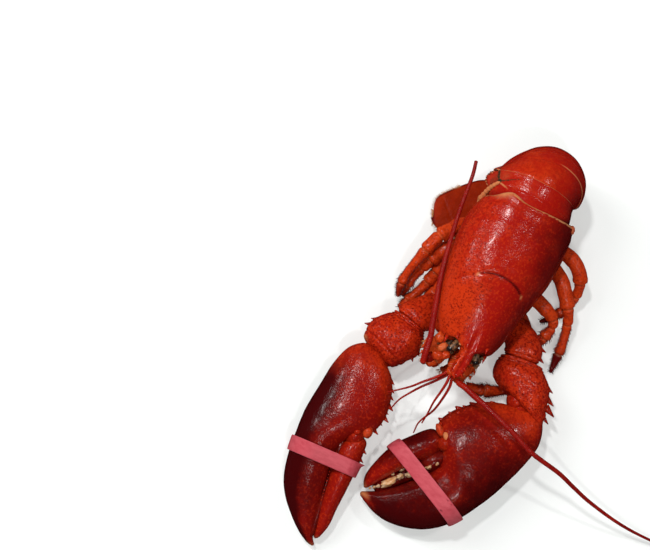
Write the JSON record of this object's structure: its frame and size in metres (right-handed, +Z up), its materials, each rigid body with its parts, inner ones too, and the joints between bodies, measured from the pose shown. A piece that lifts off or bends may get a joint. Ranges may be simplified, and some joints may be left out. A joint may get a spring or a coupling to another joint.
{
  "type": "cooked lobster",
  "caption": "Whole cooked red lobster lying on its tail, which is curled under the body, with a pink rubber band round each claw and one long feeler",
  "frame": {"origin": "on the surface that it rests on, at the flat spot under the curled tail", "axes": "+Z up out of the back, -Y toward the head, +X toward the lobster's own left side"},
  "size_m": [0.2447, 0.2832, 0.0671],
  "materials": {
    "body_shell": "wet glossy cooked shell, orange and speckled toward the front",
    "tail_shell": "wet glossy cooked shell with tan joint lines",
    "claw_shell": "wet glossy dark red shell, speckled orange toward the wrist",
    "arm_shell": "speckled orange red shell with short spines",
    "leg_shell": "orange red shell with dark bristled ends",
    "head_shell": "orange and red pieces with a hairy fringe",
    "tail_fan_shell": "flat brownish red blades with a tan hair fringe",
    "feeler_shell": "glossy dark red whips",
    "pale_underside": "pale orange underside",
    "eye_black": "shiny greenish black",
    "band_rubber": "matte coral pink rubber"
  },
  "bodies": {
    "root": {"antenna_base_left": "head_shell", "antenna_base_right": "head_shell", "antenna_left": "feeler_shell", "antenna_right": "feeler_shell", "antennal_scale_left": "head_shell", "antennal_scale_right": "head_shell", "antennule_base": "feeler_shell", "antennule_inner_left": "feeler_shell", "antennule_inner_right": "feeler_shell", "antennule_outer_left": "feeler_shell", "antennule_outer_right": "feeler_shell", "arm_left": "arm_shell", "arm_right": "arm_shell", "arm_root_left": "arm_shell", "arm_root_right": "arm_shell", "band_crusher": "band_rubber", "band_cutter": "band_rubber", "breastplate": "pale_underside", "carapace": "body_shell", "crusher_finger": "claw_shell", "crusher_palm": "claw_shell", "cutter_finger": "claw_shell", "cutter_palm": "claw_shell", "eye_left": "eye_black", "eye_right": "eye_black", "leg_2_left_lower": "leg_shell", "leg_2_left_upper": "leg_shell", "leg_2_right_lower": "leg_shell", "leg_2_right_upper": "leg_shell", "leg_3_left_lower": "leg_shell", "leg_3_left_upper": "leg_shell", "leg_3_right_lower": "leg_shell", "leg_3_right_upper": "leg_shell", "leg_4_left_lower": "leg_shell", "leg_4_left_upper": "leg_shell", "leg_4_right_lower": "leg_shell", "leg_4_right_upper": "leg_shell", "leg_5_left_lower": "leg_shell", "leg_5_left_upper": "leg_shell", "leg_5_right_lower": "leg_shell", "leg_5_right_upper": "leg_shell", "mouth_leg_left": "leg_shell", "mouth_leg_right": "leg_shell", "tail_segment_1": "tail_shell", "tail_segment_2": "tail_shell", "tail_segment_3": "tail_shell", "tail_segment_4": "tail_shell", "tail_segment_5": "tail_shell", "tail_segment_6": "tail_shell", "telson": "tail_fan_shell", "uropod_inner_left": "tail_fan_shell", "uropod_inner_right": "tail_fan_shell", "uropod_outer_left": "tail_fan_shell", "uropod_outer_right": "tail_fan_shell", "wrist_left": "arm_shell", "wrist_right": "arm_shell"}
  },
  "joints": []
}
